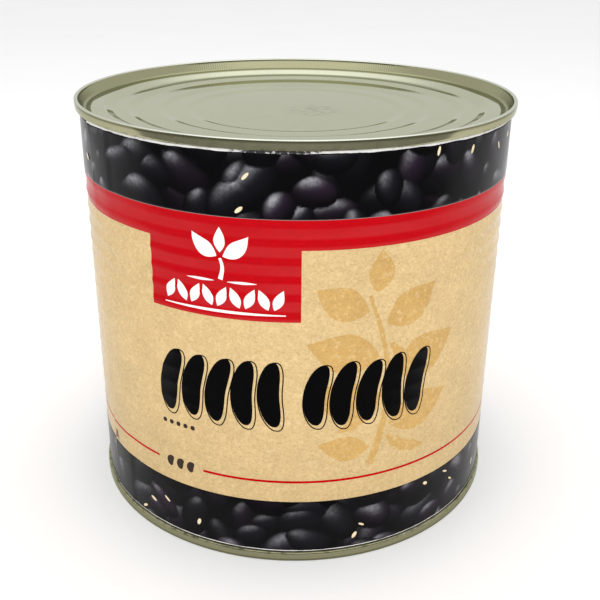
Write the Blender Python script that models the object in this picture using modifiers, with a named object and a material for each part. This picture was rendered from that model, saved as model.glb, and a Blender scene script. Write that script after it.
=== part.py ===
"""A large shut food tin with a paper label, standing upright.

Units are metres and +Z is up. The origin is the middle of the ring that the tin
stands on, and the front of the label faces -Y. Angles round the tin are measured
from the front towards +X. The wall, the two ends and the label are separate
solids, 0.3 mm apart where they would touch. Both ends are pressed alike, upright at
the top and turned over at the foot, where the seam is rolled a little tighter. The
tin is shut, so the wall is a solid cylinder with a thin rim round each end.
"""

import math

import bpy

MM = 0.001

# Driving dimensions of the tin.
CAN_HEIGHT = 148.5 * MM
TOP_SEAM_RADIUS = 78.5 * MM
BOTTOM_SEAM_RADIUS = 78.0 * MM
SEAM_HEIGHT = 3.3 * MM
SEAM_THICKNESS = 1.3 * MM
SEAM_EDGE = 0.5 * MM
LABEL_RADIUS = 76.95 * MM
LABEL_THICKNESS = 0.3 * MM
TURN_STEPS = 72
GAP = 0.3 * MM

# The wall sits inside the label, and its rim inside the seams.
WALL_RADIUS = LABEL_RADIUS - LABEL_THICKNESS - GAP
WALL_THICKNESS = 0.3 * MM
RIM_RADIUS = WALL_RADIUS - WALL_THICKNESS
PLUG_RADIUS = RIM_RADIUS - GAP
PLUG_DEPTH = 7.3 * MM
BODY_BEAD_DEPTH = 0.35 * MM
BODY_BEADS = 5
BODY_BEAD_PITCH = 5.86 * MM
UPPER_BEADS = 108.2 * MM
LOWER_BEADS = 49.6 * MM

# An end's face, from the groove inside the seam to the middle. Each step is the
# radius of its slope's middle, the slope's width and how far the face drops. The
# vacuum in the tin draws the middle of the face in by the dish's depth as well.
GROOVE_DEPTH = 4.1 * MM
GROOVE_RADIUS = 74.7 * MM
GROOVE_WIDTH = 1.5 * MM
PANEL_DEPTH = 3.3 * MM
PANEL_RADIUS = 73.2 * MM
PANEL_EDGE = 0.5 * MM
STEPS = (
    (66.8 * MM, 3.2 * MM, 1.60 * MM),
    (59.0 * MM, 3.0 * MM, 0.78 * MM),
    (47.8 * MM, 3.0 * MM, 0.49 * MM),
    (38.4 * MM, 3.0 * MM, 0.41 * MM),
)
DISH_DEPTH = 0.2 * MM
DISH_RADIUS = 66.0 * MM
DISH_RINGS = (13.0 * MM, 26.0 * MM)

# The paper label, whose one end laps over the other left of the front.
LABEL_BOTTOM = SEAM_HEIGHT + GAP
LABEL_TOP = CAN_HEIGHT - SEAM_HEIGHT - GAP
LAP_ANGLE = math.radians(-61.0)
LAP_WIDTH = 12.0 * MM
LAP_FADE = 3.0 * MM
LAP_RISE = 0.25 * MM

TINPLATE = ((0.46, 0.45, 0.30), 0.32, 1.0)
WALL_TIN = ((0.55, 0.55, 0.50), 0.35, 1.0)
PAPER = ((0.72, 0.53, 0.29), 0.45, 0.0)


def clear_scene():
    """Removes every object of the startup file."""
    for old in list(bpy.data.objects):
        bpy.data.objects.remove(old)


def make_material(name, finish):
    """A plain Principled finish from (colour, roughness, metallic)."""
    colour, roughness, metallic = finish
    material = bpy.data.materials.new(name)
    material.use_nodes = True
    shader = material.node_tree.nodes["Principled BSDF"]
    shader.inputs["Base Color"].default_value = (*colour, 1.0)
    shader.inputs["Roughness"].default_value = roughness
    shader.inputs["Metallic"].default_value = metallic
    material.diffuse_color = (*colour, 1.0)
    return material


def arc(centre, radius, start, end, count):
    """Points (r, z) along an arc, its angles in degrees anticlockwise from +r."""
    angles = [math.radians(start + (end - start) * i / count) for i in range(count + 1)]
    return [
        (centre[0] + radius * math.cos(a), centre[1] + radius * math.sin(a))
        for a in angles
    ]


def turn(name, profile, material, collection):
    """A solid turned round Z from a profile of (r, z), down its outer side."""
    mesh = bpy.data.meshes.new(name)
    edges = [(i, i + 1) for i in range(len(profile) - 1)]
    mesh.from_pydata([(r, 0.0, z) for r, z in profile], edges, [])
    mesh.materials.append(material)
    solid = bpy.data.objects.new(name, mesh)
    collection.objects.link(solid)
    screw = solid.modifiers.new("turned", "SCREW")
    screw.axis = "Z"
    screw.steps = TURN_STEPS
    screw.render_steps = TURN_STEPS
    screw.use_merge_vertices = True
    screw.merge_threshold = 0.00001
    screw.use_smooth_shade = True
    return solid


def dish(radius):
    """How far the vacuum draws an end's face in at a radius."""
    return DISH_DEPTH * max(0.0, 1 - (radius / DISH_RADIUS) ** 2)


def end_profile(seam_radius):
    """An end's half section. z is 0 on the seam's crest and falls into the tin."""
    depth = -PANEL_DEPTH - sum(drop for _, _, drop in STEPS)
    face = [(radius, depth) for radius in (0.0, *DISH_RINGS)]
    for radius, width, drop in reversed(STEPS):
        face.append((radius - width / 2, depth))
        depth += drop
        face.append((radius + width / 2, depth))
    profile = [(radius, z - dish(radius)) for radius, z in face]
    panel_edge = (PANEL_RADIUS, -PANEL_DEPTH - PANEL_EDGE)
    profile += arc(panel_edge, PANEL_EDGE, 90, 0, 2)
    groove = (GROOVE_RADIUS, -GROOVE_DEPTH + GROOVE_WIDTH / 2)
    profile += arc(groove, GROOVE_WIDTH / 2, 200, 360, 4)
    crest_inner = seam_radius - SEAM_THICKNESS + SEAM_EDGE
    crest_outer = seam_radius - SEAM_EDGE
    profile += arc((crest_inner, -SEAM_EDGE), SEAM_EDGE, 180, 90, 2)
    profile += arc((crest_outer, -SEAM_EDGE), SEAM_EDGE, 90, 0, 2)
    profile += arc((crest_outer, -SEAM_HEIGHT + SEAM_EDGE), SEAM_EDGE, 0, -90, 2)
    profile += [
        (WALL_RADIUS + GAP, -SEAM_HEIGHT),
        (PLUG_RADIUS, -SEAM_HEIGHT),
        (PLUG_RADIUS, -PLUG_DEPTH),
        (0.0, -PLUG_DEPTH),
    ]
    return profile


def make_ends(material, collection):
    """The top end, and the bottom end turned over."""
    top = turn("top_end", end_profile(TOP_SEAM_RADIUS), material, collection)
    top.location.z = CAN_HEIGHT
    bottom = turn("bottom_end", end_profile(BOTTOM_SEAM_RADIUS), material, collection)
    bottom.rotation_euler.x = math.pi


def bead_group(middle):
    """The shallow beads rolled round the wall near one height, from the top down."""
    points = []
    for i in range(BODY_BEADS):
        height = middle + ((BODY_BEADS - 1) / 2 - i) * BODY_BEAD_PITCH
        points += [
            (WALL_RADIUS, height + BODY_BEAD_PITCH / 2),
            (WALL_RADIUS - BODY_BEAD_DEPTH, height),
        ]
    points.append((WALL_RADIUS, height - BODY_BEAD_PITCH / 2))
    return points


def make_wall(material, collection):
    """The shut tin's wall as one solid, with a rim that stands up round each end."""
    core_top = CAN_HEIGHT - PLUG_DEPTH - GAP
    rim_top = CAN_HEIGHT - SEAM_HEIGHT - GAP
    upper = [
        (0.0, core_top),
        (RIM_RADIUS, core_top),
        (RIM_RADIUS, rim_top),
        (WALL_RADIUS, rim_top),
    ]
    lower = [(r, CAN_HEIGHT - z) for r, z in reversed(upper)]
    beads = bead_group(UPPER_BEADS) + bead_group(LOWER_BEADS)
    return turn("can_wall", upper + beads + lower, material, collection)


def label_outline():
    """The label's outer edge from above, with the step where its ends lap."""
    lap_end = LAP_ANGLE + LAP_WIDTH / LABEL_RADIUS
    fade_end = lap_end + LAP_FADE / LABEL_RADIUS
    step = math.tau / TURN_STEPS
    first = math.floor(fade_end / step) + 1
    last = first + TURN_STEPS
    outline = [(fade_end, LABEL_RADIUS)]
    for i in range(first, last + 1):
        angle = i * step
        if angle < LAP_ANGLE + math.tau:
            outline.append((angle, LABEL_RADIUS))
    outline += [
        (LAP_ANGLE + math.tau, LABEL_RADIUS),
        (LAP_ANGLE + math.tau, LABEL_RADIUS + LAP_RISE),
        ((LAP_ANGLE + lap_end) / 2 + math.tau, LABEL_RADIUS + LAP_RISE),
        (lap_end + math.tau, LABEL_RADIUS + LAP_RISE),
    ]
    return [(r * math.sin(a), -r * math.cos(a)) for a, r in outline]


def make_label(material, collection):
    """The paper sleeve: a flat outline with a round hole, extruded to its height."""
    curve = bpy.data.curves.new("label", "CURVE")
    curve.dimensions = "2D"
    curve.fill_mode = "BOTH"
    curve.extrude = (LABEL_TOP - LABEL_BOTTOM) / 2
    inner_radius = LABEL_RADIUS - LABEL_THICKNESS
    turns = [math.tau * i / TURN_STEPS for i in range(TURN_STEPS)]
    inner = [(inner_radius * math.sin(a), -inner_radius * math.cos(a)) for a in turns]
    for outline in (label_outline(), inner):
        spline = curve.splines.new("POLY")
        spline.points.add(len(outline) - 1)
        for point, (x, y) in zip(spline.points, outline):
            point.co = (x, y, 0.0, 1.0)
        spline.use_cyclic_u = True
    curve.materials.append(material)
    label = bpy.data.objects.new("label", curve)
    label.location.z = (LABEL_TOP + LABEL_BOTTOM) / 2
    collection.objects.link(label)
    return label


def main():
    clear_scene()
    collection = bpy.data.collections.new("canned_beans")
    bpy.context.scene.collection.children.link(collection)
    make_ends(make_material("tinplate", TINPLATE), collection)
    make_wall(make_material("wall_tin", WALL_TIN), collection)
    make_label(make_material("label_paper", PAPER), collection)


main()
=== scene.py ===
"""Models a large tin of beans: its pressed ends, its paper label and what is printed on it.

Everything is in metres, +Z is up and the front of the label faces -Y. The label and
its print are modelled flat, facing -Y, with the way round the tin along X. They are
then embossed with the tin's beads and rolled round it by a Simple Deform bend.
"""

import math
import random
from contextlib import contextmanager

import bpy
from mathutils import Matrix, Vector, noise
from mathutils.bvhtree import BVHTree
from mathutils.interpolate import poly_3d_calc


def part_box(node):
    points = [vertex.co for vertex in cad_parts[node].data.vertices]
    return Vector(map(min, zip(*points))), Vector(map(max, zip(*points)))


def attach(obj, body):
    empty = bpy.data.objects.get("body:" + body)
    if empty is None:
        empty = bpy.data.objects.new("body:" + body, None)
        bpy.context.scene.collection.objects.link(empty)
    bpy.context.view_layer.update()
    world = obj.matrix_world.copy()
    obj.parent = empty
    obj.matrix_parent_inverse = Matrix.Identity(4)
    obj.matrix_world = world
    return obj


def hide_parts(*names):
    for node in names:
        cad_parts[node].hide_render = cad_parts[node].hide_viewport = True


bl_info = {
    "name": "Bean tin",
    "version": (1, 0, 0),
    "blender": (4, 5, 0),
    "location": "3D View > Sidebar > Bean tin",
    "description": "Models the pressed ends, the paper label and the print of a bean tin",
    "category": "Object",
}

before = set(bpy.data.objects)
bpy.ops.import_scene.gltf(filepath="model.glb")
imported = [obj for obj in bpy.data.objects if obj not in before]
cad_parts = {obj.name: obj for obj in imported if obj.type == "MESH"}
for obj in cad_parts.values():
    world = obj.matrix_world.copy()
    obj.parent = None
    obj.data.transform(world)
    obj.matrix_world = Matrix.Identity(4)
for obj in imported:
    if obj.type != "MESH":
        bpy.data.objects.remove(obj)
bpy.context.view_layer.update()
TOP_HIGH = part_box("top_end")[1]
FOOT_LOW, FOOT_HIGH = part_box("bottom_end")
LABEL_LOW, LABEL_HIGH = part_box("label")
BODY = "root"
MM = 0.001

# Points nearer than this become one.
MERGE_DISTANCE = 0.01 * MM


def a_length(name, default, description):
    """A length property, its default in millimetres."""
    return bpy.props.FloatProperty(
        name=name, description=description, default=default * MM, unit="LENGTH"
    )


def an_angle(name, default, description):
    """An angle property, its default in degrees."""
    return bpy.props.FloatProperty(
        name=name, description=description, default=math.radians(default), subtype="ANGLE"
    )


def a_count(name, default, description, least=1):
    """A whole number property with its least value."""
    return bpy.props.IntProperty(name=name, description=description, default=default, min=least)


def a_colour(name, value, description):
    """A colour property."""
    return bpy.props.FloatVectorProperty(
        name=name, description=description, subtype="COLOR", size=3, min=0, max=1, default=value
    )


class TinSizes(bpy.types.PropertyGroup):
    """Sizes of the pressed ends."""

    turns: a_count("Turned steps", 288, "Steps round each end", 24)
    seam_height: a_length("Seam height", 3.3, "Height of the rolled seam")
    seam_thickness: a_length("Seam thickness", 1.3, "Thickness of the seam across its crest")
    groove_depth: a_length("Groove depth", 4.1, "Depth of the groove inside the seam")
    panel_depth: a_length("Panel depth", 3.3, "Depth of the panel's edge below the crest")
    dish: a_length("Dish", 0.2, "How far the vacuum draws the panel's middle in")
    dish_radius: a_length("Dish radius", 66.0, "Radius of the drawn-in part of the panel")


class LabelSizes(bpy.types.PropertyGroup):
    """Sizes of the paper label and the places on it. Angles are measured from the front."""

    radius: a_length("Radius", 76.9, "Radius of the label's face")
    thickness: a_length("Paper", 0.12, "Thickness of the paper")
    foot: a_length("Foot", LABEL_LOW.z / MM, "Height of the lower edge")
    head: a_length("Head", LABEL_HIGH.z / MM, "Height of the upper edge")
    columns: a_count("Columns", 200, "Faces round the label")
    rows_a_bead: a_count("Rows a bead", 8, "Faces up each bead")
    beads: a_count("Beads", 24, "Beads up the label")
    bead_depth: a_length("Bead depth", 0.42, "Depth of a bead")
    lap_angle: an_angle("Lap", -61, "Where the label's outer end stops")
    lap_width: a_length("Lap width", 12, "How far the ends overlap")
    lap_rise: a_length("Lap rise", 0.2, "How far the outer end stands off")
    band_top: a_length("Upper picture", 124.4, "Height where the upper bean picture starts")
    stripe: a_length("Stripe", 114.8, "Height where the red stripe starts")
    tab: a_length("Tab", 91.3, "Height where the red tab ends")
    tab_left: an_angle("Tab left", -36.4, "Left edge of the red tab")
    tab_right: an_angle("Tab right", 1.5, "Right edge of the red tab")
    rule: a_length("Rule", 32.3, "Height of the thin red line")
    band_foot: a_length("Lower picture", 24.3, "Height where the lower bean picture ends")


class BeanSizes(bpy.types.PropertyGroup):
    """Sizes of the beans in the printed picture."""

    length: a_length("Length", 17.5, "Length of a printed bean")
    width: a_length("Width", 11.5, "Width of a printed bean")
    spacing: a_length("Spacing", 12, "Distance between the beans of one row")
    row: a_length("Row", 6.5, "Distance between rows")
    depth: a_length("Depth", 16, "Depth of the heap")
    grain: a_length("Grain", 0.5, "Fineness of the picture")
    seed: a_count("Seed", 4, "Seed of the heap")


class TinColours(bpy.types.PropertyGroup):
    """Colours of the tin and of its print."""

    tin: a_colour("Tin", (0.53, 0.54, 0.41), "Lacquered tinplate on the panel")
    tin_edge: a_colour("Tin edge", (0.74, 0.75, 0.68), "Tint of the tinplate at a grazing view")
    seam: a_colour("Seam", (0.405, 0.39, 0.245), "Lacquered tinplate on seams and walls")
    collar: a_colour("Collar", (0.315, 0.31, 0.19), "Tinplate of the wall inside the seam")
    # The crest's lighter tone is a painted highlight along the seam's crest.
    crest: a_colour("Crest", (0.66, 0.68, 0.60), "Tinplate on the seam's worn crest")
    wall: a_colour("Wall", (0.45, 0.45, 0.36), "Tinplate of the wall")
    white: a_colour("White", (0.80, 0.785, 0.765), "Bare paper and white print")
    red: a_colour("Red", (0.425, 0.0003, 0.004), "Red print")
    black: a_colour("Black", (0.0013, 0.0011, 0.0015), "Black print")
    kraft: a_colour("Kraft", (0.58, 0.42, 0.207), "Brown paper print")
    fibre: a_colour("Fibre", (0.37, 0.225, 0.085), "Dark fibres in the brown print")
    sprig: a_colour("Sprig", (0.52, 0.325, 0.112), "Darker brown of the sprig")
    gleam: a_colour("Gleam", (0.25, 0.25, 0.27), "Light on the printed beans")
    plum: a_colour("Plum", (0.024, 0.011, 0.026), "Violet tint of some printed beans")
    cream: a_colour("Cream", (0.72, 0.60, 0.40), "The eye of a printed bean")
    floor: a_colour("Floor", (0.90, 0.90, 0.90), "The floor")


def settings():
    """The tin's, the label's and the beans' sizes, and the colours."""
    scene = bpy.context.scene
    return scene.tin_sizes, scene.label_sizes, scene.bean_sizes, scene.tin_colours


def start_piece():
    """Leaves edit mode and deselects everything."""
    if bpy.context.mode != "OBJECT":
        bpy.ops.object.mode_set(mode="OBJECT")
    bpy.ops.object.select_all(action="DESELECT")


def pick(*pieces):
    """Selects these pieces alone and makes the first one active."""
    start_piece()
    for piece in pieces:
        piece.select_set(True)
    bpy.context.view_layer.objects.active = pieces[0]


@contextmanager
def editing(piece, mode="VERT"):
    """Edit mode on one piece, with all of it selected at the start."""
    pick(piece)
    bpy.ops.object.mode_set(mode="EDIT")
    bpy.ops.mesh.select_mode(type=mode)
    bpy.ops.mesh.select_all(action="SELECT")
    yield
    bpy.ops.object.mode_set(mode="OBJECT")


def apply_place(piece):
    """Applies a piece's place, turn and scale to its mesh."""
    pick(piece)
    bpy.ops.object.transform_apply(location=True, rotation=True, scale=True)


def apply_modifier(piece, kind, **values):
    """Adds one modifier, sets it and applies it."""
    pick(piece)
    modifier = piece.modifiers.new(kind.lower(), kind)
    for key, value in values.items():
        setattr(modifier, key, value)
    bpy.ops.object.modifier_apply(modifier=modifier.name)


def join_pieces(name, pieces):
    """Joins pieces into one with a new name."""
    pick(*pieces)
    bpy.ops.object.join()
    joined = bpy.context.object
    joined.name = name
    joined.data.name = name
    return joined


def dress(piece, material):
    """Gives a finished piece its material and its body."""
    piece.data.materials.clear()
    piece.data.materials.append(material)
    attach(piece, BODY)


class Shading:
    """A shader tree and short ways to add to it. A value may be a number or a socket."""

    def __init__(self, tree):
        self.tree = tree

    def link(self, source, target):
        """Links one socket to another."""
        self.tree.links.new(source, target)

    def fill(self, node, inputs):
        """Links or sets inputs of a node."""
        for key, value in inputs.items():
            if isinstance(value, bpy.types.NodeSocket):
                self.link(value, node.inputs[key])
            else:
                node.inputs[key].default_value = value

    def add(self, kind, inputs=None, **values):
        """Adds a node, sets it up and fills its inputs."""
        node = self.tree.nodes.new(kind)
        for key, value in values.items():
            setattr(node, key, value)
        self.fill(node, inputs or {})
        return node

    def use(self, group, inputs):
        """Adds a shader group with these inputs."""
        return self.add("ShaderNodeGroup", inputs, node_tree=group)

    def math(self, operation, *values, clamp=False):
        """One operation on one or two values."""
        node = self.add("ShaderNodeMath", dict(enumerate(values)), operation=operation)
        node.use_clamp = clamp
        return node.outputs[0]

    def chain(self, operation, values, clamp=False):
        """An operation on two values, and then on its result and each further value."""
        result = values[0]
        for value in values[1:]:
            result = self.math(operation, result, value, clamp=clamp)
        return result

    def plus(self, *values, clamp=False):
        """The sum of the values."""
        return self.chain("ADD", values, clamp)

    def minus(self, *values):
        """The first value less the others."""
        return self.chain("SUBTRACT", values)

    def times(self, *values, clamp=False):
        """The product of the values."""
        return self.chain("MULTIPLY", values, clamp)

    def least(self, *values):
        """The least of the values."""
        return self.chain("MINIMUM", values)

    def most(self, *values):
        """The greatest of the values."""
        return self.chain("MAXIMUM", values)

    def mix(self, factor, first, second, blend="MIX"):
        """The first colour where the factor is 0, the second where it is 1."""
        node = self.add("ShaderNodeMix", {0: factor}, data_type="RGBA", blend_type=blend)
        for index, value in ((6, first), (7, second)):
            if not isinstance(value, bpy.types.NodeSocket):
                value = (*value[:3], 1)
            self.fill(node, {index: value})
        return node.outputs[2]

    def tint(self, first, second):
        """A colour multiplied by another colour or value."""
        return self.mix(1.0, first, second, "MULTIPLY")

    def remap(self, value, low, high, start=0.0, end=1.0, smooth=False):
        """Low to high becomes start to end, and further values are held at these."""
        return self.add(
            "ShaderNodeMapRange",
            {"Value": value, "From Min": low, "From Max": high, "To Min": start, "To Max": end},
            interpolation_type="SMOOTHSTEP" if smooth else "LINEAR",
        ).outputs["Result"]

    def noise(self, place, scale, detail=2.0, roughness=0.5):
        """Smooth random values from 0 to 1."""
        inputs = {"Vector": place, "Scale": scale, "Detail": detail, "Roughness": roughness}
        return self.add("ShaderNodeTexNoise", inputs).outputs["Fac"]

    def uneven(self, place, scale, detail, low, high, roughness=0.5):
        """Noise between two values."""
        return self.remap(self.noise(place, scale, detail, roughness), 0.3, 0.7, low, high)

    def specks(self, place, scale, least, size):
        """A mask of round specks, up to a size, in the cells whose shade is above the least."""
        cells = self.add(
            "ShaderNodeTexVoronoi", {"Vector": place, "Scale": scale, "Randomness": 1.0}
        ).outputs
        sizes = self.remap(cells["Color"], least, 1.0, 0.0, size)
        return self.math("LESS_THAN", cells["Distance"], sizes)

    def stretch(self, place, scale):
        """A place scaled along each axis, for a pattern that isn't round."""
        return self.add("ShaderNodeMapping", {"Vector": place, "Scale": scale}).outputs["Vector"]

    def place(self):
        """The place on the object, in metres."""
        return self.add("ShaderNodeTexCoord").outputs["Object"]

    def parts(self, vector):
        """A vector's x, y and z."""
        return self.add("ShaderNodeSeparateXYZ", {"Vector": vector}).outputs

    def bump(self, height):
        """The normal of a face with this relief, in metres."""
        inputs = {"Height": height, "Distance": 1.0, "Strength": 1.0}
        return self.add("ShaderNodeBump", inputs).outputs["Normal"]


def shared_group(name, inputs, outputs):
    """Turns a function that fills a shader group into one that makes it once and returns it."""

    def decorate(fill):
        def find():
            group = bpy.data.node_groups.get(name)
            if group:
                return group
            group = bpy.data.node_groups.new(name, "ShaderNodeTree")
            for way, sockets in (("INPUT", inputs), ("OUTPUT", outputs)):
                for socket, kind in sockets.items():
                    kind = f"NodeSocket{kind}"
                    group.interface.new_socket(socket, in_out=way, socket_type=kind)
            start = group.nodes.new("NodeGroupInput").outputs
            end = group.nodes.new("NodeGroupOutput")
            tree = Shading(group)
            tree.fill(end, fill(tree, start))
            return group

        return find

    return decorate


@shared_group(
    "Round the tin",
    {"Vector": "Vector", "Radius": "Float"},
    {"Across": "Float", "Height": "Float", "Reach": "Float", "Angle": "Float"},
)
def round_tin_group(tree, start):
    """How far round the tin from the front, in metres on the label, the height and radius."""
    x, y, z = tree.parts(start["Vector"])
    back = tree.times(y, -1.0)
    angle = tree.math("ARCTAN2", x, back)
    across = tree.times(angle, start["Radius"])
    flat = tree.add("ShaderNodeCombineXYZ", {"X": x, "Y": back}).outputs[0]
    reach = tree.add("ShaderNodeVectorMath", {0: flat}, operation="LENGTH").outputs["Value"]
    return {"Across": across, "Height": z, "Reach": reach, "Angle": angle}


@shared_group(
    "Printed field",
    dict.fromkeys(("Across", "Height", "Left", "Right", "Bottom", "Top", "Softness"), "Float"),
    {"Mask": "Float"},
)
def printed_field_group(tree, start):
    """A mask that is 1 inside a rectangle on the rolled-out label."""
    nearest = tree.least(
        tree.minus(start["Across"], start["Left"]),
        tree.minus(start["Right"], start["Across"]),
        tree.minus(start["Height"], start["Bottom"]),
        tree.minus(start["Top"], start["Height"]),
    )
    soft = tree.math("DIVIDE", nearest, start["Softness"])
    return {"Mask": tree.plus(soft, 0.5, clamp=True)}


# The colour of the pale specks in the brown print.
PALE_SPECK = (0.71, 0.545, 0.30)


@shared_group(
    "Kraft print",
    {"Vector": "Vector", "Base": "Color", "Fibre": "Color", "Strength": "Float"},
    {"Color": "Color"},
)
def kraft_group(tree, start):
    """Printed brown paper: soft clouds, fibres laid round the tin, dark and pale specks."""
    place = start["Vector"]
    strength = start["Strength"]
    clouds = tree.remap(tree.noise(place, 90.0, 3.0, 0.6), 0.32, 0.68, 0.94, 1.05)
    grain = tree.uneven(place, 1250.0, 3.0, 0.86, 1.12, 0.6)
    fibres = tree.noise(tree.stretch(place, (1.0, 1.0, 2.2)), 760.0, 3.0, 0.65)
    fibres = tree.remap(fibres, 0.54, 0.72, 0.0, 0.45)
    pale = tree.remap(tree.noise(place, 500.0, 4.0, 0.7), 0.52, 0.66, 0.0, 0.5)
    specks = tree.specks(tree.stretch(place, (1.0, 1.0, 1.8)), 330.0, 0.86, 0.26)
    tone = tree.tint(start["Base"], clouds)
    tone = tree.mix(strength, tone, tree.tint(tone, grain))
    tone = tree.mix(tree.times(fibres, strength), tone, start["Fibre"])
    tone = tree.mix(tree.times(pale, strength), tone, PALE_SPECK)
    tone = tree.mix(tree.times(specks, strength, 0.55), tone, start["Fibre"])
    return {"Color": tone}


@shared_group("Varnished paper", {"Vector": "Vector"}, {"Height": "Float", "Roughness": "Float"})
def varnish_group(tree, start):
    """The height of a varnished print: paper tooth and slow waves left by the glue."""
    place = start["Vector"]
    tooth = tree.times(tree.noise(place, 900.0), 0.006 * MM)
    waves = tree.noise(tree.stretch(place, (1.0, 1.0, 3.0)), 28.0)
    height = tree.plus(tooth, tree.times(waves, 0.10 * MM))
    return {"Height": height, "Roughness": tree.uneven(place, 60.0, 3.0, 0.18, 0.26)}


def new_material(name, roughness=0.5, metallic=0.0, specular=0.5):
    """A Principled material, returned with its shading tree and shader."""
    material = bpy.data.materials.new(name)
    material.use_nodes = True
    shader = material.node_tree.nodes["Principled BSDF"]
    shader.inputs["Roughness"].default_value = roughness
    shader.inputs["Metallic"].default_value = metallic
    shader.inputs["Specular IOR Level"].default_value = specular
    return material, Shading(material.node_tree), shader


# How strongly the varnished print mirrors.
PRINT_SPECULAR = 0.08


def finish_print(tree, shader, tone, place):
    """Links a print's colour under the varnish that all of the label shares."""
    varnish = tree.use(varnish_group(), {"Vector": place}).outputs
    normal = tree.bump(varnish["Height"])
    rough = varnish["Roughness"]
    tree.fill(shader, {"Base Color": tone, "Roughness": rough, "Normal": normal})


def print_material(name, tone, spread=0.06):
    """A flat ink with the slight unevenness of print, under the label's varnish."""
    material, tree, shader = new_material(name, specular=PRINT_SPECULAR)
    place = tree.place()
    grain = tree.uneven(place, 380.0, 3.0, 1 - spread, 1 + spread)
    finish_print(tree, shader, tree.tint(tone, grain), place)
    return material


def kraft_tone(tree, place, base, fibre, strength):
    """The brown print in one tone, its grain at the given strength."""
    inputs = {"Base": (*base, 1), "Fibre": (*fibre, 1), "Strength": strength}
    return tree.use(kraft_group(), {"Vector": place, **inputs}).outputs["Color"]


# Shaping helpers.


def rounded_profile(corners, count=6):
    """A profile of (r, z) from corners of (r, z, fillet), each fillet a curve of count steps."""
    points = []
    last = len(corners) - 1
    for i, (r, z, fillet) in enumerate(corners):
        corner = Vector((r, z))
        if i in (0, last) or fillet == 0:
            points.append(corner)
            continue
        before = Vector(corners[i - 1][:2]) - corner
        after = Vector(corners[i + 1][:2]) - corner
        start = corner + before.normalized() * min(fillet, before.length / 2)
        end = corner + after.normalized() * min(fillet, after.length / 2)
        for k in range(count + 1):
            t = k / count
            points.append((1 - t) ** 2 * start + 2 * t * (1 - t) * corner + t * t * end)
    tidy = points[:1]
    for point in points[1:]:
        if (point - tidy[-1]).length > 0.02 * MM:
            tidy.append(point)
    return tidy


def turn_profile(name, profile, steps):
    """Spins a profile of (r, z) once round Z. It starts and ends on the axis."""
    start_piece()
    bpy.ops.mesh.primitive_plane_add(size=MM)
    piece = bpy.context.object
    piece.name = name
    piece.data.name = name
    with editing(piece):
        bpy.ops.mesh.merge(type="CENTER")
        bpy.ops.transform.translate(value=(profile[0].x, 0, profile[0].y))
        for here, there in zip(profile, profile[1:]):
            step = there - here
            bpy.ops.mesh.extrude_region_move(
                TRANSFORM_OT_translate={"value": (step.x, 0, step.y)}
            )
        bpy.ops.mesh.select_all(action="SELECT")
        bpy.ops.mesh.spin(steps=steps, angle=math.tau, center=(0, 0, 0), axis=(0, 0, 1))
        bpy.ops.mesh.select_all(action="SELECT")
        bpy.ops.mesh.remove_doubles(threshold=MERGE_DISTANCE)
        bpy.ops.mesh.normals_make_consistent(inside=False)
        bpy.ops.mesh.faces_shade_smooth()
    return piece


# Rings pressed into an end's panel: radius of the slope's middle, its width and drop in mm.
PANEL_STEPS = (
    (66.8, 3.2, 1.60),
    (59.0, 3.0, 0.78),
    (47.8, 3.0, 0.49),
    (38.4, 3.0, 0.41),
)


# The rest of an end's section: panel, groove, seam and the plug inside the wall.
PANEL_FILLET = 0.7 * MM
PANEL_EDGE = 73.2 * MM
GROOVE_INNER = 73.9 * MM
GROOVE_OUTER = 75.55 * MM
SEAM_FOOT = 76.3 * MM
PLUG_RADIUS = 75.98 * MM
PLUG_DEPTH = 7.25 * MM


def end_corners(seam_radius, sizes):
    """Corners of an end's section as (radius, depth below the seam's crest, fillet)."""
    depth = sizes.panel_depth + sum(drop for _, _, drop in PANEL_STEPS) * MM
    corners = [(0.0, depth, 0.0)]
    for radius, width, drop in reversed(PANEL_STEPS):
        corners.append(((radius - width / 2) * MM, depth, PANEL_FILLET))
        depth -= drop * MM
        corners.append(((radius + width / 2) * MM, depth, PANEL_FILLET))
    groove = sizes.groove_depth
    inner = seam_radius - sizes.seam_thickness
    corners += [
        (PANEL_EDGE, depth, 0.6 * MM),
        (GROOVE_INNER, groove, 0.6 * MM),
        (GROOVE_OUTER, groove, 1.2 * MM),
        (inner - 0.15 * MM, 0.9 * MM, 0.6 * MM),
        (inner, 0.0, 0.45 * MM),
        (seam_radius, 0.0, 0.55 * MM),
        (seam_radius, 1.1 * MM, 0.5 * MM),
        (seam_radius - 0.15 * MM, sizes.seam_height - 0.5 * MM, 0.4 * MM),
        (seam_radius - 0.4 * MM, sizes.seam_height, 0.3 * MM),
        (SEAM_FOOT, sizes.seam_height, 0.0),
        (PLUG_RADIUS, sizes.seam_height + 0.2 * MM, 0.0),
        (PLUG_RADIUS, PLUG_DEPTH, 0.2 * MM),
        (0.0, PLUG_DEPTH, 0.0),
    ]
    return corners


def dished(profile, sizes):
    """A section with its long spans split, and the panel's middle drawn in."""
    points = profile[:1]
    for point in profile[1:]:
        start = points[-1]
        count = math.ceil((point - start).length / (3 * MM))
        points += [start.lerp(point, k / count) for k in range(1, count + 1)]
    for point in points:
        inside = 1 - (point.x / sizes.dish_radius) ** 2
        if inside > 0 and point.y < 7.0 * MM:
            point.y += sizes.dish * inside
    return points


# Where the panel is scuffed, in mm.
SCUFF_PLACE = (6.0, -3.0, 142.3)

# Tones of the painted shadow under the seam's crest and of the painted shade on the whole bottom
# end, of dust, chips, grime and scuffs.
TIN_SHADOW = (0.05, 0.05, 0.015)
TIN_DUST = (0.10, 0.10, 0.06)
TIN_CHIP = (0.75, 0.75, 0.74)
TIN_GRIME = (0.03, 0.03, 0.02)
TIN_SCUFF = (0.05, 0.05, 0.04)


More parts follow.
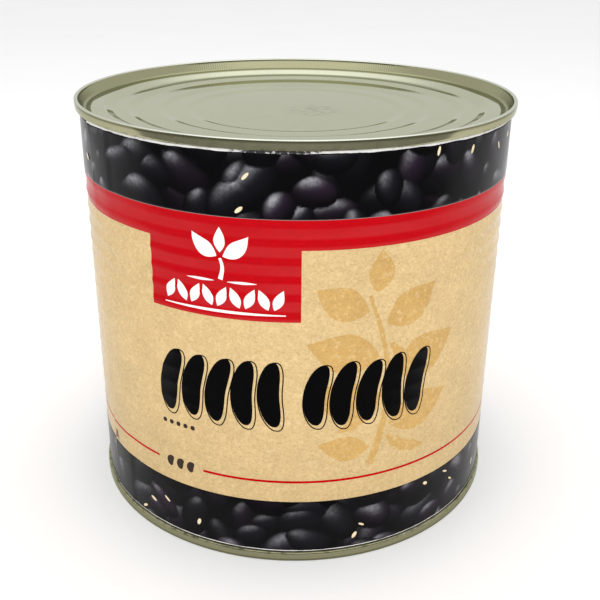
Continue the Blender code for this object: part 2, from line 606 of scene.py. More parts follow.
def scuff_mask(tree, place):
    """Fine scratches in a round patch on the panel."""
    centre = {0: place, 1: Vector(SCUFF_PLACE) * MM}
    away = tree.add("ShaderNodeVectorMath", centre, operation="DISTANCE").outputs["Value"]
    lines = tree.noise(tree.stretch(place, (1.0, 3.0, 1.0)), 330.0, 5.0, 0.75)
    return tree.times(
        tree.remap(away, 13 * MM, 5 * MM, smooth=True), tree.remap(lines, 0.50, 0.56)
    )


def tin_relief(tree, place, reach, angle):
    """The fine ticks that the seaming roll leaves, its rolling lines and slight dents."""
    ticks = tree.math("SINE", tree.times(angle, 460.0))
    on_wall = tree.times(
        tree.remap(reach, 75.6 * MM, 75.9 * MM), tree.remap(reach, 77.1 * MM, 76.8 * MM)
    )
    rolling = tree.noise(tree.stretch(place, (1.0, 7.0, 1.0)), 240.0)
    return tree.plus(
        tree.times(ticks, on_wall, 0.018 * MM),
        tree.times(rolling, 0.0005 * MM),
        tree.times(tree.noise(place, 16.0, 1.0), 0.06 * MM),
    )


def tin_material(name, sizes, colours, crest, scuffed):
    """Lacquered tinplate, its seam's crest at a height, its panel scuffed, or else the whole end
    darkened by painted shade.
    """
    material, tree, shader = new_material(name, roughness=0.3, metallic=1.0)
    place = tree.place()
    around = tree.use(round_tin_group(), {"Vector": place, "Radius": 1.0}).outputs
    reach = around["Reach"]
    depth = tree.math("ABSOLUTE", tree.minus(around["Height"], crest))
    on_panel = tree.remap(reach, 74.6 * MM, 73.6 * MM)
    inside = tree.remap(reach, 77.6 * MM, 77.2 * MM)
    tone = tree.mix(inside, colours.seam, colours.collar)
    tone = tree.mix(on_panel, tone, colours.tin)
    # Painted shadow: a dark band on the seam's outer face just under its crest.
    under = tree.times(
        tree.remap(depth, 0.30 * MM, 0.50 * MM),
        tree.remap(depth, 1.30 * MM, 0.70 * MM),
        tree.remap(reach, 77.3 * MM, 77.6 * MM),
        0.62,
    )
    tone = tree.mix(under, tone, TIN_SHADOW)
    # Painted highlight: a lighter tone along the seam's crest.
    on_crest = tree.remap(depth, 0.40 * MM, 0.15 * MM)
    tone = tree.mix(on_crest, tone, colours.crest)
    tone = tree.tint(tone, tree.uneven(place, 30.0, 3.0, 0.97, 1.02))
    tone = tree.tint(tone, tree.uneven(place, 1500.0, 2.0, 0.95, 1.04))
    dust = tree.specks(place, 420.0, 0.9, 0.22)
    tone = tree.mix(tree.times(dust, 0.5), tone, TIN_DUST)
    chips = tree.noise(tree.stretch(place, (1.0, 1.0, 1.6)), 260.0, 5.0, 0.7)
    rim = tree.remap(reach, 76.9 * MM, 77.4 * MM)
    chips = tree.times(tree.remap(chips, 0.665, 0.70), rim)
    tone = tree.mix(tree.times(chips, 0.75), tone, TIN_CHIP)
    hem = tree.remap(depth, sizes.seam_height - 0.9 * MM, sizes.seam_height)
    wear = tree.remap(tree.noise(place, 300.0, 4.0, 0.7), 0.52, 0.62)
    tone = tree.mix(tree.times(hem, wear, rim, 0.8), tone, TIN_GRIME)
    rough = tree.plus(
        tree.uneven(place, 120.0, 3.0, 0.05, 0.07),
        tree.remap(on_panel, 0.0, 1.0, 0.08, 0.0),
        tree.times(chips, 0.4),
    )
    if scuffed:
        scuff = scuff_mask(tree, place)
        tone = tree.mix(tree.times(scuff, 0.38), tone, TIN_SCUFF)
        rough = tree.plus(rough, tree.times(scuff, 0.25))
    else:
        # Painted shade: the whole bottom end is mixed a little towards the shadow tone.
        tone = tree.mix(0.28, tone, TIN_SHADOW)
    normal = tree.bump(tin_relief(tree, place, reach, around["Angle"]))
    tree.fill(shader, {"Base Color": tone, "Roughness": rough, "Normal": normal})
    shader.inputs["Specular Tint"].default_value = (*colours.tin_edge, 1)
    return material


class TIN_OT_press_ends(bpy.types.Operator):
    """Turn the top and bottom ends with their seams, grooves and ringed panels"""

    bl_idname = "tin.press_ends"
    bl_label = "Press the ends"

    def execute(self, context):
        sizes, _, _, colours = settings()
        for node, crest, seam, turned in (
            ("top_end", TOP_HIGH.z, TOP_HIGH.x, False),
            ("bottom_end", FOOT_LOW.z, FOOT_HIGH.x, True),
        ):
            side = 1.0 if turned else -1.0
            section = dished(rounded_profile(end_corners(seam, sizes)), sizes)
            profile = [Vector((point.x, crest + side * point.y)) for point in section]
            piece = turn_profile(f"pressed_{node}", profile, sizes.turns)
            material = tin_material(f"tinplate_{node}", sizes, colours, crest, not turned)
            dress(piece, material)
            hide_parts(node)
        return {"FINISHED"}


class TIN_OT_finish_wall(bpy.types.Operator):
    """Give the tin's wall its rolled tinplate"""

    bl_idname = "tin.finish_wall"
    bl_label = "Finish the wall"

    def execute(self, context):
        colours = settings()[3]
        material, tree, shader = new_material("wall_tinplate", roughness=0.35, metallic=1.0)
        place = tree.place()
        streaks = tree.noise(tree.stretch(place, (1.0, 1.0, 14.0)), 200.0, 3.0)
        tone = tree.tint(colours.wall, tree.remap(streaks, 0.3, 0.7, 0.8, 1.1))
        rough = tree.remap(streaks, 0.3, 0.7, 0.28, 0.45)
        tree.fill(shader, {"Base Color": tone, "Roughness": rough})
        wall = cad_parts["can_wall"]
        for slot in wall.material_slots:
            slot.material = material
        return {"FINISHED"}


# The beads that show through the paper, counted from the lowest on the sheet.
LOWEST_BEAD = 4
HIGHEST_BEAD = 20

# Between these heights the beads deepen.
BEADS_DEEPEN = (88 * MM, 100 * MM)

# The paper's slow wrinkles, and how gently the lap's step fades under the outer end.
WRINKLE_HEIGHT = 0.05 * MM
LAP_FADE = 4 * MM

# The outer end's upper corner, which curls off, and its edge, which lifts a little.
CURL_WIDTH = 14 * MM
CURL_STARTS = (132 * MM, 144 * MM)
CURL_HEIGHT = 0.45 * MM
LAP_EDGE_WIDTH = 2.2 * MM
LAP_EDGE_HEIGHT = 0.08 * MM

# A height at which the ink lies in a hollow of the ripples, where the red gets none of the
# painted sheen.
RIPPLE_HOLLOW_HEIGHT = 117.1 * MM


def smooth_step(low, high, value):
    """Rises smoothly from 0 at low to 1 at high."""
    t = min(1.0, max(0.0, (value - low) / (high - low)))
    return t * t * (3 - 2 * t)


def label_rows(label):
    """Height of one row of faces, and the height of the lowest bead's cusp."""
    row = (label.head - label.foot) / (label.beads * label.rows_a_bead)
    return row, label.foot + 2 * row


def relief(label, across, height):
    """How far the label's face stands out from its radius, from beads, lap and wrinkles."""
    row, cusp = label_rows(label)
    pitch = row * label.rows_a_bead
    phase = ((height - cusp) / pitch) % 1.0
    hollow = 1 - (2 * phase - 1) ** 2
    strength = 0.28 + 0.72 * smooth_step(*BEADS_DEEPEN, height)
    bead = math.floor((height - cusp) / pitch + 0.001)
    if not LOWEST_BEAD <= bead < HIGHEST_BEAD:
        strength = 0.0
    place = Vector((across * 22, height * 22, 1.7))
    strength *= 0.85 + 0.3 * noise.noise(place)
    out = -label.bead_depth * hollow * strength
    out += WRINKLE_HEIGHT * noise.noise(Vector((across * 45, height * 30, 4.2)))
    along = across - label.radius * label.lap_angle
    out += label.lap_rise * (1 - smooth_step(label.lap_width, label.lap_width + LAP_FADE, along))
    curl = smooth_step(CURL_WIDTH, 0.0, along) * smooth_step(*CURL_STARTS, height)
    out += CURL_HEIGHT * curl * curl
    edge = smooth_step(LAP_EDGE_WIDTH, 0.0, along)
    out += LAP_EDGE_HEIGHT * edge * (1 + noise.noise(Vector((3.1, height * 90, 0.4))))
    return out


def flat_sheet(name, edges, columns, rows):
    """A flat grid facing the front. Its edges are left, right, bottom and top."""
    left, right, bottom, top = edges
    start_piece()
    bpy.ops.mesh.primitive_grid_add(
        x_subdivisions=columns,
        y_subdivisions=rows,
        size=1,
        location=((left + right) / 2, 0, (bottom + top) / 2),
        rotation=(math.pi / 2, 0, 0),
    )
    piece = bpy.context.object
    piece.name = name
    piece.data.name = name
    piece.scale = (right - left, top - bottom, 1)
    apply_place(piece)
    return piece


def way(label, degrees):
    """The way round the label from its front, for an angle."""
    return label.radius * math.radians(degrees)


def emboss(piece, label, lift=0.0):
    """Moves a flat piece's points out by the label's relief and a small lift."""
    for vertex in piece.data.vertices:
        place = vertex.co
        place.y -= relief(label, place.x, place.z) + lift


def face_normal(label, across, height):
    """The label's own direction at a place, after rolling."""
    step = 0.3 * MM
    rise_x = relief(label, across + step, height) - relief(label, across - step, height)
    rise_z = relief(label, across, height + step) - relief(label, across, height - step)
    flat = Vector((-rise_x / (2 * step), -1.0, -rise_z / (2 * step))).normalized()
    return Matrix.Rotation(across / label.radius, 3, "Z") @ flat


def roll_up(piece, label):
    """Rolls a flat piece round the tin. The X axis becomes the way round."""
    reach = [vertex.co.x for vertex in piece.data.vertices]
    angle = (max(reach) - min(reach)) / label.radius
    apply_modifier(piece, "SIMPLE_DEFORM", deform_method="BEND", deform_axis="Z", angle=angle)
    with editing(piece):
        bpy.ops.transform.translate(value=(0, -label.radius, 0))


def roll_print(piece, label, lift):
    """Embosses and rolls up a print, with the label's own shading on it."""
    normals = [face_normal(label, v.co.x, v.co.z) for v in piece.data.vertices]
    emboss(piece, label, lift)
    roll_up(piece, label)
    piece.data.shade_smooth()
    piece.data.normals_split_custom_set_from_vertices(normals)


def cut_strips(piece, label):
    """Cuts a flat print along the label's own rows and columns, so that it can follow them."""
    low = [min(v.co[i] for v in piece.data.vertices) for i in range(3)]
    high = [max(v.co[i] for v in piece.data.vertices) for i in range(3)]
    row, _ = label_rows(label)
    start = label.radius * label.lap_angle
    column = (math.tau * label.radius + label.lap_width) / label.columns
    with editing(piece):
        for axis, origin, step in ((0, start, column), (2, label.foot, row)):
            index = math.ceil((low[axis] - origin) / step)
            while origin + index * step < high[axis]:
                place = [0.0, 0.0, 0.0]
                place[axis] = origin + index * step
                normal = [0.0, 0.0, 0.0]
                normal[axis] = 1.0
                bpy.ops.mesh.select_all(action="SELECT")
                bpy.ops.mesh.bisect(plane_co=place, plane_no=normal)
                index += 1


# How far each print stands off the paper, and how thick it is.
PRINT_LIFTS = {
    "bean_plant": 0.02 * MM,
    "red_line": 0.03 * MM,
    "small_marks": 0.03 * MM,
    "sprout_emblem": 0.03 * MM,
    "bean_row_outline": 0.035 * MM,
    "bean_row": 0.045 * MM,
    "bean_eyes": 0.07 * MM,
}
PRINT_THICKNESS = 0.03 * MM
PICTURE_LIFT = 0.04 * MM
PICTURE_THICKNESS = 0.02 * MM


def print_ink(name, shapes, label, material):
    """Joins flat shapes into one print, and cuts, thickens, rolls and dresses it."""
    piece = join_pieces(name, shapes)
    cut_strips(piece, label)
    apply_modifier(piece, "SOLIDIFY", thickness=PRINT_THICKNESS, offset=-1.0)
    roll_print(piece, label, PRINT_LIFTS[name])
    dress(piece, material)


def flat_shape(name, points):
    """A flat face in the XZ plane, facing -Y, with its rim through the points (x, z)."""
    start_piece()
    bpy.ops.mesh.primitive_circle_add(vertices=len(points), radius=MM, fill_type="NGON")
    piece = bpy.context.object
    piece.name = name
    for vertex, (x, z) in zip(piece.data.vertices, points):
        vertex.co = (x, 0.0, z)
    return piece


def ring_shape(name, points, width):
    """As flat_shape, with its middle taken out to leave a line of the given width."""
    piece = flat_shape(name, points)
    with editing(piece, "FACE"):
        bpy.ops.mesh.inset(thickness=width)
        bpy.ops.mesh.delete(type="FACE")
    return piece


def placed(points, x, z, angle=0.0, mirror=False):
    """Points turned, moved and mirrored if wanted, still anticlockwise from the front."""
    if mirror:
        points = [(-a, b) for a, b in reversed(points)]
    cos, sin = math.cos(angle), math.sin(angle)
    return [(x + a * cos - b * sin, z + a * sin + b * cos) for a, b in points]


def ribbon_points(path, width, count=24):
    """The rim of a ribbon along path(s), s from 0 to 1, of width(s)."""
    right = []
    left = []
    for i in range(count + 1):
        s = i / count
        x, z = path(s)
        ahead = Vector(path(min(1.0, s + 0.01)))
        behind = Vector(path(max(0.0, s - 0.01)))
        along = (ahead - behind).normalized()
        across = Vector((along.y, -along.x)) * width(s) / 2
        right.append((x + across.x, z + across.y))
        left.append((x - across.x, z - across.y))
    return right + left[::-1]


def leaf_points(length, width, bow=0.0, count=16):
    """A leaf from its stalk at the origin to its tip up the Z axis."""

    def half(s):
        return max(0.04 * MM, width / 2 * math.sin(math.pi * s) ** 0.9 * (1.15 - 0.45 * s))

    return ribbon_points(
        lambda s: (bow * math.sin(math.pi * s), length * s), lambda s: 2 * half(s), count
    )


def kidney_points(length, width, hollow=0.16, count=40):
    """A bean standing on end, its hollow side to the right."""
    points = []
    for i in range(count):
        a = math.tau * i / count
        cos, sin = math.cos(a), math.sin(a)
        x = width / 2 * math.copysign(abs(cos) ** 0.85, cos)
        z = length / 2 * math.copysign(abs(sin) ** 0.92, sin)
        bow = 1.5 * hollow * width * (sin * sin - 0.4)
        waist = 0.6 * hollow * width * math.exp(-((2.2 * sin) ** 2)) * max(0.0, cos)
        points.append((x + bow - waist, z))
    return points


def bar_points(left, right, middle, thin, thick, count=24):
    """A level bar that swells from thin ends to a thick middle."""
    return ribbon_points(
        lambda s: (left + (right - left) * s, middle),
        lambda s: thin + (thick - thin) * math.sin(math.pi * s),
        count,
    )


def pod_points(length, width, count=36):
    """A hanging pod from its stalk, with the bulges of four beans."""

    def breadth(s):
        bulge = 0.84 + 0.16 * math.cos(8 * math.pi * (s - 0.5))
        return max(0.08 * MM, width * math.sin(math.pi * min(1.0, s * 1.02)) ** 0.45 * bulge)

    return ribbon_points(
        lambda s: (2.2 * MM * math.sin(math.pi * s), length * s), breadth, count
    )


# Tones of the darker patches on the white upper edge and of the small brown nick.
DARK_EDGE_TONE = (0.035, 0.035, 0.035)
NICK_TONE = (0.10, 0.055, 0.02)


class TIN_OT_wrap_label(bpy.types.Operator):
    """Make the paper label, emboss it with the tin's beads and roll it round the wall"""

    bl_idname = "tin.wrap_label"
    bl_label = "Wrap the label"

    def execute(self, context):
        _, label, _, colours = settings()
        start = label.radius * label.lap_angle
        end = start + math.tau * label.radius + label.lap_width
        edges = (start, end, label.foot, label.head)
        piece = flat_sheet("paper_label", edges, label.columns, label.beads * label.rows_a_bead)
        for vertex in piece.data.vertices:
            fray = noise.noise(Vector((vertex.co.x * 260, vertex.co.z, 0)))
            slow = noise.noise(Vector((vertex.co.x * 55, 7.7, 0)))
            head = smooth_step(label.head - 1.0 * MM, label.head, vertex.co.z)
            foot = smooth_step(label.foot + 0.8 * MM, label.foot, vertex.co.z)
            vertex.co.z += head * (0.12 * MM * fray + 0.16 * MM * slow)
            vertex.co.z += foot * 0.10 * MM * fray
        emboss(piece, label)
        apply_modifier(piece, "SOLIDIFY", thickness=label.thickness, offset=-1.0)
        roll_up(piece, label)
        piece.data.shade_smooth()
        pick(piece)
        bpy.ops.object.shade_smooth_by_angle(angle=math.radians(60))
        dress(piece, self.paper(label, colours))
        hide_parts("label")
        return {"FINISHED"}

    def paper(self, label, colours):
        """The sheet's colour fields: pictures, red stripe and tab, kraft and cut edges."""
        material, tree, shader = new_material("label_print", specular=PRINT_SPECULAR)
        place = tree.place()
        around = tree.use(round_tin_group(), {"Vector": place, "Radius": label.radius}).outputs
        across = around["Across"]
        height = around["Height"]
        far = 1.0

        def field(left, right, bottom, top, softness=0.06 * MM):
            """A mask of one rectangle of the sheet."""
            edges = {"Left": left, "Right": right, "Bottom": bottom, "Top": top}
            inputs = {"Across": across, "Height": height, **edges, "Softness": softness}
            return tree.use(printed_field_group(), inputs).outputs["Mask"]

        kraft = kraft_tone(tree, place, colours.kraft, colours.fibre, 1.0)
        # Painted shade: the kraft is darker towards the bottom of the label.
        kraft = tree.tint(kraft, tree.remap(height, 15 * MM, 65 * MM, 0.90, 1.0))
        tab_edges = (label.radius * label.tab_left, label.radius * label.tab_right)
        red_mask = tree.most(
            field(*tab_edges, label.tab, label.band_top),
            field(-far, far, label.stripe, label.band_top),
        )
        tone = tree.mix(red_mask, kraft, self.red(tree, place, height, label, colours))
        pictures = tree.most(
            field(-far, far, label.band_top, far), field(-far, far, -far, label.band_foot)
        )
        tone = tree.mix(pictures, tone, colours.black)
        ragged = tree.times(tree.noise(place, 110.0, 4.0, 0.65), 1.0 * MM)
        upper = tree.plus(height, ragged)
        lower = tree.minus(height, ragged)
        edge = tree.most(
            tree.remap(upper, label.head - 0.25 * MM, label.head - 0.15 * MM),
            tree.remap(lower, label.foot - 0.10 * MM, label.foot - 0.20 * MM),
        )
        torn = tree.noise(place, 420.0, 4.0, 0.7)
        white = tree.tint(colours.white, tree.remap(torn, 0.3, 0.7, 0.72, 1.05))
        # Darker patches on the white upper edge, at the front and at the far left.
        dark_edge_patches = tree.most(
            field(-17 * MM, 6 * MM, label.head - 2 * MM, far, 6 * MM),
            field(-99 * MM, -84 * MM, label.head - 2 * MM, far, 3 * MM),
        )
        edge_darkness = tree.plus(tree.remap(torn, 0.42, 0.58, -0.4, 0.4), dark_edge_patches)
        white = tree.mix(tree.remap(edge_darkness, 0.35, 0.85), white, DARK_EDGE_TONE)
        hairline = field(-far, far, label.band_top, label.band_top + 0.2 * MM)
        tone = tree.mix(tree.times(hairline, 0.3), tone, white)
        tone = tree.mix(edge, tone, white)
        nick = field(-81.2 * MM, -78.8 * MM, 25.2 * MM, 28.8 * MM, 1.6 * MM)
        nick = tree.plus(nick, tree.remap(torn, 0.42, 0.58, -0.3, 0.3))
        tone = tree.mix(tree.remap(nick, 0.40, 0.62), tone, NICK_TONE)
        finish_print(tree, shader, tone, place)
        return material

    def red(self, tree, place, height, label, colours):
        """The red ink, grained, with a painted sheen: lightened towards white where the ripples
        stand out.
        """
        red = tree.tint(colours.red, tree.uneven(place, 420.0, 3.0, 0.95, 1.05))
        pitch = (label.head - label.foot) / label.beads
        ripple = tree.times(tree.minus(height, RIPPLE_HOLLOW_HEIGHT), math.tau / pitch)
        # Painted sheen: the red is mixed a little towards white on the ripples' crests, away from
        # their hollows.
        painted_sheen = tree.remap(tree.math("COSINE", ripple), 0.75, -0.35, smooth=True)
        sheen_unevenness = tree.noise(tree.stretch(place, (1.0, 1.0, 3.0)), 22.0)
        painted_sheen = tree.times(painted_sheen, tree.remap(sheen_unevenness, 0.35, 0.6, 0.006, 0.017))
        return tree.mix(painted_sheen, red, colours.white)


def bean_model(sizes):
    """One bean lying along X, rounded, waisted and bowed: its points, normals and faces."""
    start_piece()
    bpy.ops.mesh.primitive_uv_sphere_add(segments=22, ring_count=12, radius=1)
    piece = bpy.context.object
    piece.rotation_euler.y = math.pi / 2
    apply_place(piece)
    half = Vector((sizes.length / 2, sizes.width / 2 * 0.86, sizes.width / 2))
    for vertex in piece.data.vertices:
        unit = vertex.co.copy()
        full = 1.0 + 0.10 * (1 - unit.x**2)
        waist = 0.13 * math.exp(-((2.2 * unit.x) ** 2)) * max(0.0, -unit.z)
        vertex.co = Vector(
            (unit.x * half.x, unit.y * half.y * full, (unit.z * full + waist) * half.z)
        )
        vertex.co.z -= 0.16 * half.z * unit.x**2
    piece.data.update()
    points = [vertex.co.copy() for vertex in piece.data.vertices]
    normals = [vertex.normal.copy() for vertex in piece.data.vertices]
    faces = [tuple(face.vertices) for face in piece.data.polygons]
    bpy.data.objects.remove(piece)
    return points, normals, faces


# Where the light on the printed beans comes from.
GLEAM_FROM = Vector((-0.25, -0.72, 0.70)).normalized()
GLOW_FROM = Vector((0.0, -0.80, 0.50)).normalized()
GLEAM_SHARPNESS = 17
GLOW_SHARPNESS = 3

# How far the beans stray from their rows, how they tilt, and their scales.
STRAY = 0.4
TILT = 0.35
BEAN_SCALES = (0.85, 1.25)
AHEAD = Vector((0, 1, 0))


class BeanHeap:
    """Beans at random turns in loose rows, and what they show to someone in front."""

    def __init__(self, sizes, pattern, left, right, bottom, top):
        self.sizes = sizes
        self.points, self.normals, self.faces = bean_model(sizes)
        self.turns = []
        self.tones = []
        self.corners = []
        self.all_faces = []
        rows = math.ceil((top - bottom) / sizes.row) + 2
        columns = math.ceil((right - left) / sizes.spacing) + 1
        for row in range(rows):
            for column in range(columns):
                x = left + (column + row % 2 / 2 + pattern.uniform(-STRAY, STRAY)) * sizes.spacing
                z = bottom + (row - 0.5 + pattern.uniform(-STRAY, STRAY)) * sizes.row
                y = pattern.uniform(0.0, sizes.depth)
                turn = (
                    Matrix.Rotation(pattern.uniform(0, math.tau), 4, "Y")
                    @ Matrix.Rotation(pattern.gauss(0, TILT), 4, "Z")
                    @ Matrix.Rotation(pattern.uniform(0, math.tau), 4, "X")
                )
                place = Matrix.Translation((x, y, z)) @ turn
                place = place @ Matrix.Scale(pattern.uniform(*BEAN_SCALES), 4)
                first = len(self.corners)
                self.corners += [place @ point for point in self.points]
                self.all_faces += [tuple(first + i for i in face) for face in self.faces]
                self.turns.append(turn.to_3x3())
                self.tones.append(pattern.random())
        self.tree = BVHTree.FromPolygons(self.corners, self.all_faces)

    def glimpse(self, x, z):
        """Gleam, glow, tone and nearness of what shows at one place."""
        hit, _, index, distance = self.tree.ray_cast(Vector((x, -1, z)), AHEAD)
        if hit is None:
            return Vector((0, 0, 0, 0))
        face = self.all_faces[index]
        weights = poly_3d_calc([self.corners[i] for i in face], hit)
        bean, local = divmod(index, len(self.faces))
        normal = Vector()
        for weight, i in zip(weights, self.faces[local]):
            normal += weight * self.normals[i]
        normal = self.turns[bean] @ normal.normalized()
        gleam = max(0.0, normal.dot(GLEAM_FROM)) ** GLEAM_SHARPNESS
        glow = max(0.0, normal.dot(GLOW_FROM)) ** GLOW_SHARPNESS
        near = 1 - (distance - 1 + self.sizes.width / 2) / (self.sizes.depth + self.sizes.width)
        return Vector((gleam, glow, self.tones[bean], near))

    def look(self, x, z):
        """The mean of five glimpses round a point, which keeps the beans' edges smooth."""
        total = Vector((0, 0, 0, 0))
        grain = self.sizes.grain
        for a, b in ((0, 0), (0.30, 0.14), (-0.14, 0.30), (-0.30, -0.14), (0.14, -0.30)):
            total += self.glimpse(x + a * grain, z + b * grain)
        return total / 5

    def eyes(self, bottom, top):
        """Outlines of the pale eyes that show, each in the middle of a bean's hollow side."""
        hollow = min(
            range(len(self.points)),
            key=lambda i: self.points[i].z + 2 * self.points[i].xy.length,
        )
        outlines = []
        for bean, turn in enumerate(self.turns):
            middle = self.corners[bean * len(self.points) + hollow]
            normal = turn @ self.normals[hollow]
            if normal.y > -0.35 or not bottom < middle.z < top:
                continue
            index = self.tree.ray_cast(Vector((middle.x, -1, middle.z)), AHEAD)[2]
            if index // len(self.faces) != bean:
                continue
            along = turn @ Vector((1.5 * MM, 0, 0))
            across = turn @ Vector((0, 0.7 * MM, 0))
            if along.x * across.z < along.z * across.x:
                across.negate()
            angles = [math.tau * i / 14 for i in range(14)]
            rim = [middle + math.cos(a) * along + math.sin(a) * across for a in angles]
            outlines.append([(point.x, point.z) for point in rim])
        return outlines


# The skin of a black bean.
BEAN_SKIN = (0.007, 0.007, 0.010)


class TIN_OT_print_beans(bpy.types.Operator):
    """Print the two bean pictures: what a heap of beans shows to someone in front"""

    bl_idname = "tin.print_beans"
    bl_label = "Print the bean pictures"

    def execute(self, context):
        _, label, beans, colours = settings()
        material = self.picture(colours)
        pattern = random.Random(beans.seed)
        eyes = []
        left = label.radius * label.lap_angle
        right = left + math.tau * label.radius
        for name, bottom, top in (
            ("upper_bean_print", label.band_top + 0.15 * MM, label.head - 0.9 * MM),
            ("lower_bean_print", label.foot + 0.4 * MM, label.band_foot),
        ):
            heap = BeanHeap(beans, pattern, left, right, bottom, top)
            piece = self.sheet(name, heap, beans.grain, (left, right, bottom, top))
            apply_modifier(piece, "SOLIDIFY", thickness=PICTURE_THICKNESS, offset=-1.0)
            emboss(piece, label, PICTURE_LIFT)
            roll_up(piece, label)
            piece.data.shade_smooth()
            dress(piece, material)
            for outline in heap.eyes(bottom + 1.5 * MM, top - 1.5 * MM):
                eyes.append(flat_shape("eye", outline))
        ink = print_material("cream_ink", colours.cream, 0.12)
        print_ink("bean_eyes", eyes, label, ink)
        return {"FINISHED"}

    def sheet(self, name, heap, grain, edges):
        """A fine flat sheet that keeps the heap's look at each of its points."""
        left, right, bottom, top = edges
        columns = round((right - left) / grain)
        piece = flat_sheet(name, edges, columns, round((top - bottom) / grain))
        looks = [heap.look(vertex.co.x, vertex.co.z) for vertex in piece.data.vertices]
        layer = piece.data.attributes.new("bean_look", "FLOAT_COLOR", "POINT")
        layer.data.foreach_set("color", [value for look in looks for value in look])
        return piece

    def picture(self, colours):
        """Near-black beans lit from above, as the camera that took the picture saw them."""
        material, tree, shader = new_material("bean_picture", specular=PRINT_SPECULAR)
        place = tree.place()
        look = tree.add("ShaderNodeAttribute", attribute_name="bean_look").outputs
        gleam, glow, shade = tree.parts(look["Vector"])
        wrinkle = tree.uneven(place, 800.0, 4.0, 0.45, 1.35, 0.7)
        front = tree.remap(look["Alpha"], 0.30, 0.80, 0.05, 1.0)
        brightness = tree.remap(shade, 0.0, 1.0, 0.45, 1.35)
        strength = tree.times(tree.times(gleam, wrinkle, front), brightness, clamp=True)
        # Painted shade: the printed beans' highlights dim towards the bottom of the label.
        height = tree.parts(place)["Z"]
        strength = tree.times(strength, tree.remap(height, 30 * MM, 60 * MM, 0.55, 1.0))
        plum = tree.remap(shade, 0.55, 0.95, 0.0, 0.8)
        skin = tree.mix(plum, BEAN_SKIN, colours.plum)
        skin = tree.mix(tree.times(glow, front, clamp=True), colours.black, skin)
        tone = tree.mix(strength, skin, colours.gleam)
        finish_print(tree, shader, tone, place)
        return material


class TIN_OT_print_emblem(bpy.types.Operator):
    """Print the white sprout in the red tab, with a garland of leaves below it"""

    bl_idname = "tin.print_emblem"
    bl_label = "Print the sprout emblem"

    def execute(self, context):
        _, label, _, colours = settings()
        middle = way(label, -17.3)
        base = 104.2 * MM
        fork = base + 7.6 * MM
        outlines = [
            ribbon_points(
                lambda s: (middle + 0.7 * MM * math.sin(3 * s), base + 7.0 * MM * s),
                lambda s: (1.5 - 0.6 * s) * MM,
            ),
            placed(leaf_points(8.0 * MM, 3.9 * MM), middle, fork + 1.2 * MM),
        ]
        for side in (-1, 1):
            leaf = leaf_points(10.6 * MM, 5.4 * MM, 0.9 * MM)
            outlines.append(
                placed(leaf, middle + side * MM, fork, -side * math.radians(50), side < 0)
            )
            ground = bar_points(2.2 * MM, 11.5 * MM, -0.6 * MM, 0.15 * MM, 0.9 * MM)
            outlines.append(placed(ground, middle, base, 0.0, side < 0))
        left = way(label, -32.4)
        right = way(label, -2.0)
        count = 9
        pitch = (right - left) / count
        for i in range(count):
            lean = math.radians(24 if i % 2 else -24)
            x = left + pitch * (i + 0.5) + 3.3 * MM * math.sin(lean)
            leaf = leaf_points(7.2 * MM, 3.5 * MM)
            outlines.append(placed(leaf, x, 95.2 * MM, lean))
        outlines.append(bar_points(left, right, 93.6 * MM, 0.3 * MM, 0.9 * MM, 60))
        shapes = [flat_shape("emblem", outline) for outline in outlines]
        ink = print_material("white_ink", colours.white, 0.03)
        print_ink("sprout_emblem", shapes, label, ink)
        return {"FINISHED"}


class TIN_OT_print_title(bpy.types.Operator):
    """Print the row of large black beans across the front, each with a thin outline"""

    bl_idname = "tin.print_title"
    bl_label = "Print the bean row"

    def execute(self, context):
        _, label, beans, colours = settings()
        pattern = random.Random(beans.seed + 11)
        shapes = []
        outlines = []
        start = way(label, -35.2)
        pitch = 8.85 * MM
        gap = 6.0 * MM
        for i in range(10):
            x = start + pitch * (i + 0.5) + (gap if i > 4 else 0.0)
            height = pattern.uniform(21.5, 24.0) * MM
            turn = math.radians(pattern.uniform(-11, 1))
            bean = kidney_points(height, 7.6 * MM, 0.13)
            shapes.append(flat_shape("bean", placed(bean, x, 65.4 * MM, turn)))
            wide = kidney_points(height + 1.8 * MM, 9.2 * MM, 0.13)
            rim = placed(wide, x + 0.6 * MM, 64.7 * MM, turn)
            outlines.append(ring_shape("outline", rim, 0.4 * MM))
        ink = print_material("black_ink", colours.black, 0.05)
        print_ink("bean_row", shapes, label, ink)
        print_ink("bean_row_outline", outlines, label, ink)
        return {"FINISHED"}


